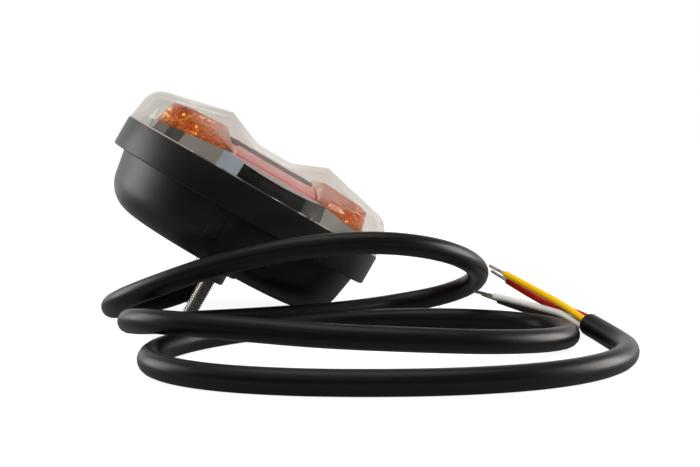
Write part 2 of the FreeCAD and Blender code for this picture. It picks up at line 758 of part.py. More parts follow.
# Each core: its place in the cable's end, sideways and up, then the points that it passes.
CORE_ROUTES = {
    "yellow": ((-1, 1), ((81.4, -46.6, 8.0), (76.6, -40.4, 10.3), (68.6, -29.6, 13.9))),
    "red": ((1, 1), ((82.9, -45.3, 6.8), (79.4, -39.6, 6.8), (74.2, -34.0, 9.2), (69.4, -28.5, 11.9))),
    "white": ((-1, -1), ((81.0, -46.1, 6.0), (77.6, -41.5, 6.4), (73.7, -36.9, 7.1), (65.6, -31.0, 8.3))),
    "black": ((1, -1), ((83.2, -45.2, 4.3), (79.6, -39.4, 4.2), (73.7, -33.0, 4.8), (67.5, -25.8, 6.3))),
}

cord_pieces = {}


def rounded_route(points):
    """Straight runs joined by tangent arcs, each arc as large as its two runs allow, with the radii."""
    edges = []
    radii = []
    start = points[0]
    for before, corner, after in zip(points, points[1:], points[2:]):
        back_run = before - corner
        next_run = after - corner
        half_turn = (math.pi - back_run.getAngle(next_run)) / 2
        trim = ARC_SHARE * min(back_run.Length, next_run.Length)
        radius = trim / math.tan(half_turn)
        back_run.normalize()
        next_run.normalize()
        inward = (back_run + next_run).normalize()
        arc_start = corner + back_run * trim
        arc_end = corner + next_run * trim
        arc_middle = corner + inward * (math.hypot(radius, trim) - radius)
        edges.append(Part.LineSegment(start, arc_start).toShape())
        edges.append(Part.Arc(arc_start, arc_middle, arc_end).toShape())
        radii.append(radius)
        start = arc_end
    edges.append(Part.LineSegment(start, points[-1]).toShape())
    return Part.Wire(edges), radii


def lay_cord(label, points, radius):
    """A round tube along a route, with its volume compared with its section times its length."""
    route, radii = rounded_route(points)
    section = Part.Wire(Part.makeCircle(radius, points[0], points[1] - points[0]))
    tube = route.makePipeShell([section], True, False)
    expected = math.pi * radius ** 2 * route.Length
    if abs(tube.Volume - expected) > VOLUME_SLACK * expected:
        raise RuntimeError(f"{label} has volume {tube.Volume:.1f}, not {expected:.1f}")
    piece = doc.addObject("Part::Feature", label)
    piece.Shape = tube
    cord_pieces[label] = piece
    print(f"{label}: length {route.Length:.1f}, radii {[round(value, 1) for value in radii]}")


outward = lie.Rotation.multVec(FreeCAD.Vector(0, 0, -1))
gland_mouth = lie.multVec(FreeCAD.Vector(0, 0, mouth.value))
cable_points = [gland_mouth, gland_mouth + outward * size.lead_out.value]
cable_points += [FreeCAD.Vector(*point) for point in CABLE_ROUTE]
lay_cord("cable", cable_points, size.cable_radius.value)

cable_end = cable_points[-1]
end_run = (cable_points[-1] - cable_points[-2]).normalize()
end_side = end_run.cross(FreeCAD.Vector(0, 0, 1)).normalize()
end_up = end_side.cross(end_run)
for colour, ((sideways, upwards), passes) in CORE_ROUTES.items():
    core_start = cable_end + (end_side * sideways + end_up * upwards) * size.core_ring.value
    core_points = [core_start, core_start + end_run * size.core_out.value]
    core_points += [FreeCAD.Vector(*point) for point in passes]
    lay_cord(f"core_{colour}", core_points, size.core_radius.value)
    tip_run = (core_points[-1] - core_points[-2]).normalize()
    tip = doc.addObject("Part::Feature", f"tip_{colour}")
    tip.Shape = Part.makeCylinder(size.tip_radius.value, size.tip_length.value, core_points[-1], tip_run)
    cord_pieces[tip.Label] = tip
doc.recompute()


# Checks and files

for item in doc.Objects:
    if "Invalid" in item.State or "Error" in item.State:
        raise RuntimeError(f"{item.Label} failed: {item.State}")

pieces = {label: piece for label, (piece, shift) in lamp_pieces.items()}
pieces.update(cord_pieces)
os.makedirs("parts", exist_ok=True)
for label, piece in pieces.items():
    if piece.Shape.isNull() or not piece.Shape.isValid():
        raise RuntimeError(f"{label} has no valid shape")
for label, piece in pieces.items():
    piece.Shape.exportStep(f"parts/{label}.step")
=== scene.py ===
"""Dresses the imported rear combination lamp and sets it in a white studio.

Sizes of pieces are in millimetres in the lamp's own frame, where Z runs along the lamp's axis
towards the lens and Z = 0 is the rim face. The lamp's lie turns them into metres in the row frame.
Routes of cords are in millimetres in the row frame, and the studio is in metres.
"""
import bmesh
import bpy
import json
import math
from mathutils import Matrix, Vector


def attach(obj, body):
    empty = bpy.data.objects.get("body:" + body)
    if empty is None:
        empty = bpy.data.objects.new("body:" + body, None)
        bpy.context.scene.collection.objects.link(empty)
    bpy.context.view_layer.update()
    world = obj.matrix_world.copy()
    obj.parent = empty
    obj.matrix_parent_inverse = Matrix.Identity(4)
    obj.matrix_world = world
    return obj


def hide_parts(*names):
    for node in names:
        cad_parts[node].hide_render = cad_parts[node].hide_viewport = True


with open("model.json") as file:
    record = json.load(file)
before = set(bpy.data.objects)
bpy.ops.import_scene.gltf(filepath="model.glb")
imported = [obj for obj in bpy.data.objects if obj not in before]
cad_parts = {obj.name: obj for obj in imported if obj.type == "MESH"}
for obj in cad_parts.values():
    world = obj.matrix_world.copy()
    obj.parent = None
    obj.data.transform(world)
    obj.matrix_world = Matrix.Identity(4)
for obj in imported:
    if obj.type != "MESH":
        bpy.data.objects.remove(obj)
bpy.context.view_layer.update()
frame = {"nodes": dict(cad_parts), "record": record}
nodes = frame["nodes"]
MM = 0.001


# The lamp's lie: it rests on its stud tips and on the round edge of its back.
# The stud pattern in the record gives its axis and a point on it.
STUD_PATTERN_DROP = 35.9
stud_pattern = next(mount for mount in frame["record"]["mounts"] if mount["name"] == "studs")
lens_way = -Vector(stud_pattern["axis"])
rim_centre = Vector(stud_pattern["pos_m"]) + lens_way * STUD_PATTERN_DROP * MM
lean = math.acos(lens_way.z)
yaw = math.atan2(lens_way.y, lens_way.x)
lamp_lie = Matrix.Translation(rim_centre) @ Matrix.Rotation(yaw, 4, "Z") @ Matrix.Rotation(lean, 4, "Y")


def in_lamp(x, y, z):
    """A point of the lamp's own frame, in millimetres, as a point of the row frame in metres."""
    return lamp_lie @ Vector((x * MM, y * MM, z * MM))


# Housing: one black moulding in satin plastic, with a drafted bowl under an overhanging rim.
# Its skin has the fine spark grain of the mould, rubbed a little smoother along the edges,
# and the mould leaves its outside edges slightly round.
HOUSING_BLACK = (0.004, 0.0038, 0.0035)
HOUSING_WORN = (0.006, 0.0057, 0.0053)
EDGE_ROUND = 0.25
EDGE_SEGMENTS = 3
EDGE_PROFILE = 0.5
EDGE_ANGLE = math.radians(35)
FLAT_ANGLE = math.radians(0.3)
CREASE_ANGLE = math.radians(20)
SAME_POINT = 0.001
GRAIN_DETAIL = 3.0
GRAIN_STRENGTH = 0.35
PATCH_DETAIL = 4.0
PATCH_MIDDLE = 0.5
RUBBED_EDGE = (0.52, 0.62)
RUBBED_GLOSS = 0.12
# A Mix node's sockets for colours come after those for numbers and vectors.
FIRST_COLOUR = 6
SECOND_COLOUR = 7
MIXED_COLOUR = 2


def set_sockets(node, values):
    """Sets a node's sockets by their names."""
    for socket_name, value in values.items():
        node.inputs[socket_name].default_value = value


def feed(tree, value, socket):
    """Sets a socket to a number, or links another socket to it."""
    if isinstance(value, (int, float)):
        socket.default_value = value
    else:
        tree.links.new(value, socket)


def maths(tree, operation, *values, clamp=False):
    """A maths node of up to three numbers or sockets, and its result."""
    node = tree.nodes.new("ShaderNodeMath")
    node.operation = operation
    node.use_clamp = clamp
    for socket, value in zip(node.inputs, values):
        feed(tree, value, socket)
    return node.outputs[0]


def ramp(tree, value, start, end, low=0.0, high=1.0):
    """A result that goes from low to high while a value goes from start to end."""
    node = tree.nodes.new("ShaderNodeMapRange")
    set_sockets(node, {"From Min": start, "From Max": end, "To Min": low, "To Max": high})
    tree.links.new(value, node.inputs["Value"])
    return node.outputs["Result"]


def noise(tree, scale, detail):
    """Noise over the object's own coordinates, with numbers or sockets for its scale and detail."""
    place = tree.nodes.new("ShaderNodeTexCoord")
    texture = tree.nodes.new("ShaderNodeTexNoise")
    tree.links.new(place.outputs["Object"], texture.inputs["Vector"])
    feed(tree, scale, texture.inputs["Scale"])
    feed(tree, detail, texture.inputs["Detail"])
    return texture.outputs["Fac"]


def new_group(name, inputs, outputs):
    """An empty shader node group of numbers, with its ends and sockets."""
    tree = bpy.data.node_groups.new(name, "ShaderNodeTree")
    for way, socket_names in (("INPUT", inputs), ("OUTPUT", outputs)):
        for socket_name in socket_names:
            tree.interface.new_socket(socket_name, in_out=way, socket_type="NodeSocketFloat")
    return tree, tree.nodes.new("NodeGroupInput").outputs, tree.nodes.new("NodeGroupOutput").inputs


def place_group(tree, group, values):
    """The outputs of a node group that is placed in a material with its own values."""
    node = tree.nodes.new("ShaderNodeGroup")
    node.node_tree = group
    set_sockets(node, values)
    return node.outputs


def make_moulded_skin():
    """Fine grain, slow changes of gloss and rubbed edges, for moulded and extruded plastics."""
    tree, given, result = new_group(
        "moulded_skin",
        ("Grain Scale", "Roughness", "Spread", "Patch Scale"),
        ("Height", "Roughness", "Patch"),
    )
    grain = noise(tree, given["Grain Scale"], GRAIN_DETAIL)
    patch = noise(tree, given["Patch Scale"], PATCH_DETAIL)
    geometry = tree.nodes.new("ShaderNodeNewGeometry")
    edge = ramp(tree, geometry.outputs["Pointiness"], *RUBBED_EDGE)
    centred = maths(tree, "SUBTRACT", patch, PATCH_MIDDLE)
    rough = maths(tree, "MULTIPLY_ADD", centred, given["Spread"], given["Roughness"])
    rubbed = maths(tree, "MULTIPLY", edge, RUBBED_GLOSS)
    rough = maths(tree, "SUBTRACT", rough, rubbed, clamp=True)
    tree.links.new(grain, result["Height"])
    tree.links.new(rough, result["Roughness"])
    tree.links.new(patch, result["Patch"])
    return tree


moulded_skin = make_moulded_skin()


def new_material(name):
    """A material with its Principled shader, ready for its finish."""
    material = bpy.data.materials.new(name)
    material.use_nodes = True
    return material, material.node_tree, material.node_tree.nodes["Principled BSDF"]


def mix_colours(tree, factor, first, second):
    """A colour between two, by a socket."""
    node = tree.nodes.new("ShaderNodeMix")
    node.data_type = "RGBA"
    tree.links.new(factor, node.inputs["Factor"])
    node.inputs[FIRST_COLOUR].default_value = (*first, 1.0)
    node.inputs[SECOND_COLOUR].default_value = (*second, 1.0)
    return node.outputs[MIXED_COLOUR]


def moulded_plastic(
    name, colour, worn_colour, roughness, spread, grain_scale, relief, patch_scale=60.0, gloss=0.5,
):
    """A plastic or rubber with the moulded skin and two close colours."""
    material, tree, shader = new_material(name)
    shader.inputs["Specular IOR Level"].default_value = gloss
    skin = place_group(tree, moulded_skin, {
        "Grain Scale": grain_scale, "Roughness": roughness, "Spread": spread, "Patch Scale": patch_scale,
    })
    tint = mix_colours(tree, skin["Patch"], colour, worn_colour)
    tree.links.new(tint, shader.inputs["Base Color"])
    tree.links.new(skin["Roughness"], shader.inputs["Roughness"])
    grain = tree.nodes.new("ShaderNodeBump")
    set_sockets(grain, {"Strength": GRAIN_STRENGTH, "Distance": relief * MM})
    tree.links.new(skin["Height"], grain.inputs["Height"])
    tree.links.new(grain.outputs["Normal"], shader.inputs["Normal"])
    return material


def closed_copy(node_name):
    """A CAD node's mesh as a bmesh, with the doubled points along its edges joined."""
    shape = bmesh.new()
    shape.from_mesh(nodes[node_name].data)
    bmesh.ops.remove_doubles(shape, verts=shape.verts[:], dist=SAME_POINT * MM)
    return shape


def finish_mesh(shape, name):
    """A bmesh as a mesh with its normals outwards."""
    bmesh.ops.recalc_face_normals(shape, faces=shape.faces[:])
    mesh = bpy.data.meshes.new(name)
    shape.to_mesh(mesh)
    shape.free()
    return mesh


def smooth_mesh(mesh, angle):
    """Shades a mesh smooth, apart from edges sharper than an angle."""
    mesh.shade_smooth()
    mesh.set_sharp_from_angle(angle=angle)


def place_object(name, data):
    """A new object of the scene, with its mesh, curve, lamp or camera."""
    placed = bpy.data.objects.new(name, data)
    bpy.context.scene.collection.objects.link(placed)
    return placed


def add_piece(name, data, material, node_name):
    """A mesh or curve as a piece that rides on the lamp and stands for its CAD node."""
    piece = place_object(name, data)
    data.materials.append(material)
    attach(piece, "root")
    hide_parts(node_name)
    return piece


def soft_edged(name, node_name, material):
    """A CAD shape whose outside edges are rounded a little, as the mould leaves them."""
    shape = closed_copy(node_name)
    bmesh.ops.dissolve_limit(shape, angle_limit=FLAT_ANGLE, verts=shape.verts[:], edges=shape.edges[:])
    sharp = [
        edge for edge in shape.edges
        if edge.is_manifold and edge.is_convex and edge.calc_face_angle() > EDGE_ANGLE
    ]
    bmesh.ops.bevel(
        shape, geom=sharp, offset=EDGE_ROUND * MM, offset_type="OFFSET", segments=EDGE_SEGMENTS,
        profile=EDGE_PROFILE, affect="EDGES", clamp_overlap=True,
    )
    bmesh.ops.triangulate(shape, faces=shape.faces[:])
    mesh = finish_mesh(shape, name)
    smooth_mesh(mesh, CREASE_ANGLE)
    add_piece(name, mesh, material, node_name)


housing_plastic = moulded_plastic(
    "housing_plastic", HOUSING_BLACK, HOUSING_WORN,
    roughness=0.38, spread=0.12, grain_scale=2600.0, relief=0.02, gloss=0.3,
)
soft_edged("housing_moulding", "housing", housing_plastic)


# Lens: a clear moulding welded to the rim face, with a drafted side, a round shoulder and a
# conical crown. A saddle-shaped valley crosses it and opens almost level at both edges.
# Its outer skin is tinted and its inner skin is clear. A narrow pale grey band at its foot is a painted
# highlight for the light caught along the rim's top edge.
LENS_FOOT = 39.8
LENS_CORNER = (38.1, 10.1)
LENS_APEX = 19.3
LENS_SHOULDER = 6.0
LENS_WALL = 1.4
VALLEY_DROP = 1.47
VALLEY_STATION = 42.0
VALLEY_FLOOR = (11.3, 3.6)
VALLEY_HALF = (5.5, 14.5)
VALLEY_SPREAD = (26.2, 450.0)
VALLEY_TOP = 20.0
CREASE_ROUND = 0.8
PAINTED_HIGHLIGHT_HEIGHT = 0.35
LENS_TURNS = 288
VALLEY_RINGS = 60
DOME_RINGS = 44
SECTION_STEPS = 160
OUTER_SKIN, PAINTED_HIGHLIGHT_BAND, INNER_SKIN = range(3)
LENS_TINT = (0.58, 0.55, 0.5)
WATER_WHITE = (1.0, 1.0, 1.0)
LENS_COAT = {"Coat Weight": 0.35, "Coat Roughness": 0.02, "Coat IOR": 1.49}
HAZE_SCALE = 240.0
HAZE_DETAIL = 3.0


def valley_height(x, y):
    """Height of the lens's valley, with a soft crease along both sides of its floor."""
    along = (y / VALLEY_STATION) ** 2
    floor, half, spread = (
        middle + (end - middle) * along for middle, end in (VALLEY_FLOOR, VALLEY_HALF, VALLEY_SPREAD)
    )
    slope = (VALLEY_TOP - floor) / (spread - half)
    beyond = abs(x) - half
    return floor + slope * (beyond + math.hypot(beyond, CREASE_ROUND)) / 2


def dome_section(inset):
    """Radius and height along the dome's section, from the crown's middle to its foot."""
    corner = Vector((LENS_CORNER[0] - inset, LENS_CORNER[1] - inset))
    foot = Vector((LENS_FOOT - inset, -inset))
    apex = Vector((0.0, LENS_APEX - inset))
    shoulder = LENS_SHOULDER - inset
    side_way = (foot - corner).normalized()
    crown_way = (apex - corner).normalized()
    half = side_way.angle(crown_way) / 2
    trim = shoulder / math.tan(half)
    middle = corner + (side_way + crown_way).normalized() * shoulder / math.sin(half)
    crown_end = corner + crown_way * trim
    side_start = corner + side_way * trim
    side_end = foot + side_way * (-foot.y / side_way.y)
    high, low = (math.atan2(*(end - middle).yx) for end in (crown_end, side_start))
    shares = [step / SECTION_STEPS for step in range(SECTION_STEPS + 1)]
    points = [apex.lerp(crown_end, share) for share in shares[:-1]]
    for share in shares[:-1]:
        angle = high + (low - high) * share
        points.append(middle + Vector((math.cos(angle), math.sin(angle))) * shoulder)
    return points + [side_start.lerp(side_end, share) for share in shares]


def meridian(section, angle, drop):
    """Heights of one skin along a half plane: the valley out to its ridge, then the dome."""
    across, along = math.cos(angle), math.sin(angle)

    def valley(radius):
        return valley_height(radius * across, radius * along) - drop

    ridge = next(number for number, point in enumerate(section) if point.y < valley(point.x))
    before, after = section[ridge - 1], section[ridge]
    over_before = before.y - valley(before.x)
    over_after = valley(after.x) - after.y
    brink = before.lerp(after, over_before / (over_before + over_after))
    points = []
    for ring in range(1, VALLEY_RINGS + 1):
        radius = brink.x * (1 - (1 - ring / VALLEY_RINGS) ** 2)
        height = brink.y if ring == VALLEY_RINGS else valley(radius)
        points.append(Vector((radius, height)))
    dome = [brink] + section[ridge:]
    lengths = [0.0]
    for first, second in zip(dome, dome[1:]):
        lengths.append(lengths[-1] + (second - first).length)
    place = 0
    for ring in range(1, DOME_RINGS + 1):
        reach = lengths[-1] * (ring / DOME_RINGS) ** 2
        while lengths[place + 1] < reach and place < len(dome) - 2:
            place += 1
        share = (reach - lengths[place]) / (lengths[place + 1] - lengths[place])
        points.append(dome[place].lerp(dome[place + 1], share))
    return points


def lens_skin(shape, inset, drop):
    """One skin of the lens as rings of vertices from its middle to its foot."""
    section = dome_section(inset)
    rings = [[] for ring in range(VALLEY_RINGS + DOME_RINGS)]
    for turn in range(LENS_TURNS):
        angle = 2 * math.pi * turn / LENS_TURNS
        for ring, point in zip(rings, meridian(section, angle, drop)):
            x, y = point.x * math.cos(angle), point.x * math.sin(angle)
            ring.append(shape.verts.new(in_lamp(x, y, point.y)))
    middle = shape.verts.new(in_lamp(0.0, 0.0, valley_height(0.0, 0.0) - drop))
    return [[middle]] + rings


def bridge_rings(shape, rings, finish=0, flip=False):
    """Quads between rings in one of a piece's finishes, and a fan where the first ring is one vertex."""
    for inner, outer in zip(rings, rings[1:]):
        count = len(outer)
        for turn in range(count):
            follower = (turn + 1) % count
            if len(inner) == 1:
                corners = [inner[0], outer[turn], outer[follower]]
            else:
                corners = [inner[turn], outer[turn], outer[follower], inner[follower]]
            face = shape.faces.new(corners[::-1] if flip else corners)
            face.smooth = True
            face.material_index = finish


def make_patchy_gloss():
    """Slow changes of gloss and a mask of them, for clear plastics and bright metals."""
    tree, given, result = new_group(
        "patchy_gloss", ("Patch Scale", "Detail", "Smoothest", "Spread"), ("Patch", "Roughness"),
    )
    patch = noise(tree, given["Patch Scale"], given["Detail"])
    rough = maths(tree, "MULTIPLY_ADD", patch, given["Spread"], given["Smoothest"])
    tree.links.new(patch, result["Patch"])
    tree.links.new(rough, result["Roughness"])
    return tree


patchy_gloss = make_patchy_gloss()


def clear_plastic(name, colour, roughness, ior, clearness, coat):
    """Clear or milky plastic with a faint haze, whose shadow is tinted light."""
    material, tree, shader = new_material(name)
    set_sockets(shader, {"Base Color": (*colour, 1.0), "IOR": ior, "Transmission Weight": clearness})
    set_sockets(shader, coat)
    haze = place_group(tree, patchy_gloss, {
        "Patch Scale": HAZE_SCALE, "Detail": HAZE_DETAIL, "Smoothest": roughness / 2, "Spread": roughness,
    })
    tree.links.new(haze["Roughness"], shader.inputs["Roughness"])
    rays = tree.nodes.new("ShaderNodeLightPath")
    through = tree.nodes.new("ShaderNodeBsdfTransparent")
    through.inputs["Color"].default_value = (*colour, 1.0)
    blend = tree.nodes.new("ShaderNodeMixShader")
    tree.links.new(rays.outputs["Is Shadow Ray"], blend.inputs["Fac"])
    tree.links.new(shader.outputs["BSDF"], blend.inputs[1])
    tree.links.new(through.outputs["BSDF"], blend.inputs[2])
    tree.links.new(blend.outputs["Shader"], tree.nodes["Material Output"].inputs["Surface"])
    return material


lens_shape = bmesh.new()
outer_rings = lens_skin(lens_shape, 0.0, 0.0)
inner_rings = lens_skin(lens_shape, LENS_WALL, VALLEY_DROP)
# A narrow band at the foot of the outer skin gets a pale finish, a painted highlight for the rim's top
# edge.
painted_highlight_ring = []
for upper, foot in zip(*outer_rings[-2:]):
    share = PAINTED_HIGHLIGHT_HEIGHT * MM / (upper.co - foot.co).length
    painted_highlight_ring.append(lens_shape.verts.new(foot.co.lerp(upper.co, share)))
bridge_rings(lens_shape, outer_rings[:-1] + [painted_highlight_ring], OUTER_SKIN)
bridge_rings(lens_shape, [painted_highlight_ring, outer_rings[-1]], PAINTED_HIGHLIGHT_BAND)
bridge_rings(lens_shape, inner_rings, INNER_SKIN, flip=True)
bridge_rings(lens_shape, [outer_rings[-1], inner_rings[-1]], OUTER_SKIN)
lens_plastic, lens_back = (
    clear_plastic(name, tint, roughness=0.01, ior=1.002, clearness=1.0, coat=LENS_COAT)
    for name, tint in (("lens_plastic", LENS_TINT), ("lens_back", WATER_WHITE))
)
# Pale grey painted highlight for the band at the lens's foot, standing for the light along the rim's top
# edge.
painted_highlight_plastic = moulded_plastic(
    "painted_highlight_plastic", (0.36, 0.34, 0.31), (0.5, 0.48, 0.44),
    roughness=0.45, spread=0.1, grain_scale=1800.0, relief=0.01, patch_scale=300.0,
)
lens = add_piece("lens_clear", finish_mesh(lens_shape, "lens_clear"), lens_plastic, "lens")
lens.data.materials.append(painted_highlight_plastic)
lens.data.materials.append(lens_back)


# Reflector: a plastic moulding with a vapour-laid coat of aluminium, seated on the rim face.
# It has a skirt of flat facets, which mirror the studio one by one, and a deck for the inserts.

def bright_metal(name, dull, shiny, patch_scale, detail, smoothest, spread):
    """A metal skin with slow changes between two close colours and of its gloss."""
    material, tree, shader = new_material(name)
    shader.inputs["Metallic"].default_value = 1.0
    skin = place_group(tree, patchy_gloss, {
        "Patch Scale": patch_scale, "Detail": detail, "Smoothest": smoothest, "Spread": spread,
    })
    tree.links.new(mix_colours(tree, skin["Patch"], dull, shiny), shader.inputs["Base Color"])
    tree.links.new(skin["Roughness"], shader.inputs["Roughness"])
    return material


def dress(node_names, material):
    """Puts a finish on CAD nodes whose shape is right."""
    for node_name in node_names:
        slots = nodes[node_name].data.materials
        slots.clear()
        slots.append(material)


aluminised = bright_metal(
    "aluminised", (0.78, 0.79, 0.81), (0.86, 0.87, 0.88),
    patch_scale=90.0, detail=4.0, smoothest=0.06, spread=0.08,
)
dress(["reflector"], aluminised)


# Indicator inserts: clear amber blocks that stand on the deck at both ends, trimmed to the lens.
# Rows of small pyramids in their undersides break up the light of the diodes.
DECK_HALF = 12.3
DECK_HEIGHT = 5.0
DECK_DROP = 2.3
DECK_RUN = 21.1
FACET_PITCH = 2.4
FACET_HALF = 1.16
FACET_HEIGHT = 1.3
FACET_SINK = 0.3
FACET_REACH = 31.6
FACET_START = 14.4
FACET_ROWS = 13
FACET_COLUMNS = 8
FACET_ANGLE = math.radians(25)
SQUARE = ((-1, -1), (1, -1), (1, 1), (-1, 1))


def pyramid(shape, x, y):
    """A small pyramid that stands through the deck's slope."""
    deck = DECK_HEIGHT - DECK_DROP / DECK_RUN * (abs(x) - DECK_HALF)
    foot = [
        shape.verts.new(in_lamp(x + FACET_HALF * across, y + FACET_HALF * along, deck - FACET_SINK))
        for across, along in SQUARE
    ]
    tip = shape.verts.new(in_lamp(x, y, deck + FACET_HEIGHT))
    shape.faces.new(foot[::-1])
    for corner, follower in zip(foot, foot[1:] + foot[:1]):
        shape.faces.new([corner, follower, tip])


def faceted_block(name, node_name, side, material):
    """An insert's block with rows of pyramids cut into its underside."""
    cutter_shape = bmesh.new()
    for column in range(FACET_COLUMNS):
        x = FACET_START + FACET_PITCH * column
        for row in range(-FACET_ROWS, FACET_ROWS + 1):
            y = FACET_PITCH * row
            if math.hypot(x + FACET_HALF, abs(y) + FACET_HALF) < FACET_REACH:
                pyramid(cutter_shape, x * side, y)
    cutter = place_object(f"{name}_cutter", finish_mesh(cutter_shape, f"{name}_cutter"))
    block = place_object(f"{name}_block", finish_mesh(closed_copy(node_name), f"{name}_block"))
    carve = block.modifiers.new("facets", "BOOLEAN")
    carve.operation = "DIFFERENCE"
    carve.solver = "EXACT"
    carve.object = cutter
    graph = bpy.context.evaluated_depsgraph_get()
    mesh = bpy.data.meshes.new_from_object(block.evaluated_get(graph))
    mesh.name = name
    mesh.materials.clear()
    smooth_mesh(mesh, FACET_ANGLE)
    bpy.data.objects.remove(cutter)
    bpy.data.objects.remove(block)
    add_piece(name, mesh, material, node_name)


amber = clear_plastic(
    "amber_plastic", (1.0, 0.37, 0.07), roughness=0.03, ior=1.49, clearness=0.88, coat={},
)
faceted_block("indicator_facets_left", "indicator_insert_left", -1, amber)
faceted_block("indicator_facets_right", "indicator_insert_right", 1, amber)


# Stop insert: a milky red block between the indicators, under the lens's valley.
# Its sloping ends mirror the light, and the edges of the slopes stay deep red.
RED_SLOPE_TOP = 20.4
RED_SLOPE_FOOT = 30.0
RED_FADE = 1.0
RED_COAT = {"Coat Roughness": 0.08, "Coat IOR": 1.9}


def mask_slopes(material):
    """Keeps a material's coat on the stop insert's slopes, by the distance along the valley."""
    tree = material.node_tree
    place = tree.nodes.new("ShaderNodeTexCoord")
    along = tree.nodes.new("ShaderNodeVectorMath")
    along.operation = "DOT_PRODUCT"
    valley_way = lamp_lie.to_3x3() @ Vector((0.0, 1.0, 0.0))
    along.inputs[1].default_value = valley_way
    tree.links.new(place.outputs["Object"], along.inputs[0])
    offset = maths(tree, "SUBTRACT", along.outputs["Value"], valley_way.dot(rim_centre))
    reach = maths(tree, "ABSOLUTE", offset)
    below_top = ramp(tree, reach, RED_SLOPE_TOP * MM, (RED_SLOPE_TOP + RED_FADE) * MM)
    above_foot = ramp(tree, reach, RED_SLOPE_FOOT * MM, (RED_SLOPE_FOOT - RED_FADE) * MM)
    shader = tree.nodes["Principled BSDF"]
    tree.links.new(maths(tree, "MULTIPLY", below_top, above_foot), shader.inputs["Coat Weight"])


red = clear_plastic(
    "red_plastic", (0.9, 0.02, 0.008), roughness=0.04, ior=1.49, clearness=0.5, coat=RED_COAT,
)
mask_slopes(red)
dress(["stop_insert"], red)


# Tail bar: a dark grey plastic carrier across the top of the stop insert, with a row of small
# diodes under yellow caps. The diodes under the inserts are of the same kind.
bar_plastic = moulded_plastic(
    "bar_plastic", (0.03, 0.029, 0.028), (0.045, 0.043, 0.041),
    roughness=0.34, spread=0.1, grain_scale=1800.0, relief=0.01,
)
dress(["tail_bar"], bar_plastic)
diode_cap = moulded_plastic(
    "diode_cap", (0.8, 0.66, 0.25), (0.86, 0.76, 0.36),
    roughness=0.25, spread=0.1, grain_scale=1800.0, relief=0.01,
)
dress(["tail_diodes", "indicator_diodes_left", "indicator_diodes_right", "stop_diodes"], diode_cap)


# Circuit board: a laminate under a white solder mask, seated in the bowl behind the reflector.
# The resistors that limit the diodes' current and the leads to the cable are soldered to it.
board_mask = moulded_plastic(
    "board_mask", (0.74, 0.76, 0.73), (0.82, 0.83, 0.8),
    roughness=0.4, spread=0.1, grain_scale=1200.0, relief=0.01,
)
dress(["led_board"], board_mask)
resistor_glaze = moulded_plastic(
    "resistor_glaze", (0.03, 0.03, 0.034), (0.05, 0.05, 0.055),
    roughness=0.3, spread=0.1, grain_scale=1800.0, relief=0.01,
)
dress(["ballast_resistors", "board_leads"], resistor_glaze)


# Gland: a soft black rubber moulding in the middle of the back.
# The cable passes through it, and it keeps water out of the bowl.
gland_rubber = moulded_plastic(
    "gland_rubber", (0.012, 0.012, 0.012), (0.02, 0.02, 0.02),
    roughness=0.6, spread=0.15, grain_scale=2200.0, relief=0.02,
)
dress(["cable_gland"], gland_rubber)


# Studs, washers and nuts: steel with a dull zinc plating.
# Two studs with a rolled thread stand out of the back, each with a washer and a nut.
THREAD_PITCH = 0.7
THREAD_DEPTH = 0.4
THREAD_ROOT = 0.15
THREAD_FLANK = 0.75
STUD_SPACING = 30.0
STUD_RADIUS = 2.0
STUD_TOP = -18.2
STUD_END = -39.2
STUD_CHAMFER = 0.5
STUD_SIDES = 28
ROWS_PER_PITCH = 6


def threaded_stud(name, y, node_name, material):
    """A stud with a single-start thread and a chamfered tip."""
    shape = bmesh.new()
    rows = round((STUD_TOP - STUD_END) / THREAD_PITCH * ROWS_PER_PITCH)
    rings = [[shape.verts.new(in_lamp(0.0, y, STUD_TOP))]]
    for row in range(rows + 1):
        z = STUD_TOP + (STUD_END - STUD_TOP) * row / rows
        ring = []
        for side in range(STUD_SIDES):
            angle = 2 * math.pi * side / STUD_SIDES
            phase = (z / THREAD_PITCH + side / STUD_SIDES) % 1.0
            climb = (abs(2 * phase - 1) - THREAD_ROOT) / THREAD_FLANK
            crest = min(max(climb, 0.0), 1.0)
            radius = STUD_RADIUS - THREAD_DEPTH * (1 - crest)
            radius = min(radius, STUD_RADIUS - STUD_CHAMFER + (z - STUD_END))
            ring.append(shape.verts.new(in_lamp(radius * math.cos(angle), y + radius * math.sin(angle), z)))
        rings.append(ring)
    bridge_rings(shape, rings)
    tip = shape.verts.new(in_lamp(0.0, y, STUD_END))
    for corner, follower in zip(rings[-1], rings[-1][1:] + rings[-1][:1]):
        shape.faces.new([tip, follower, corner])
    add_piece(name, finish_mesh(shape, name), material, node_name)


zinc = bright_metal(
    "zinc_steel", (0.4, 0.385, 0.355), (0.62, 0.6, 0.57),
    patch_scale=700.0, detail=5.0, smoothest=0.18, spread=0.25,
)
dress(["washer_near", "washer_far", "nut_near", "nut_far"], zinc)
threaded_stud("stud_thread_near", -STUD_SPACING / 2, "stud_near", zinc)
threaded_stud("stud_thread_far", STUD_SPACING / 2, "stud_far", zinc)


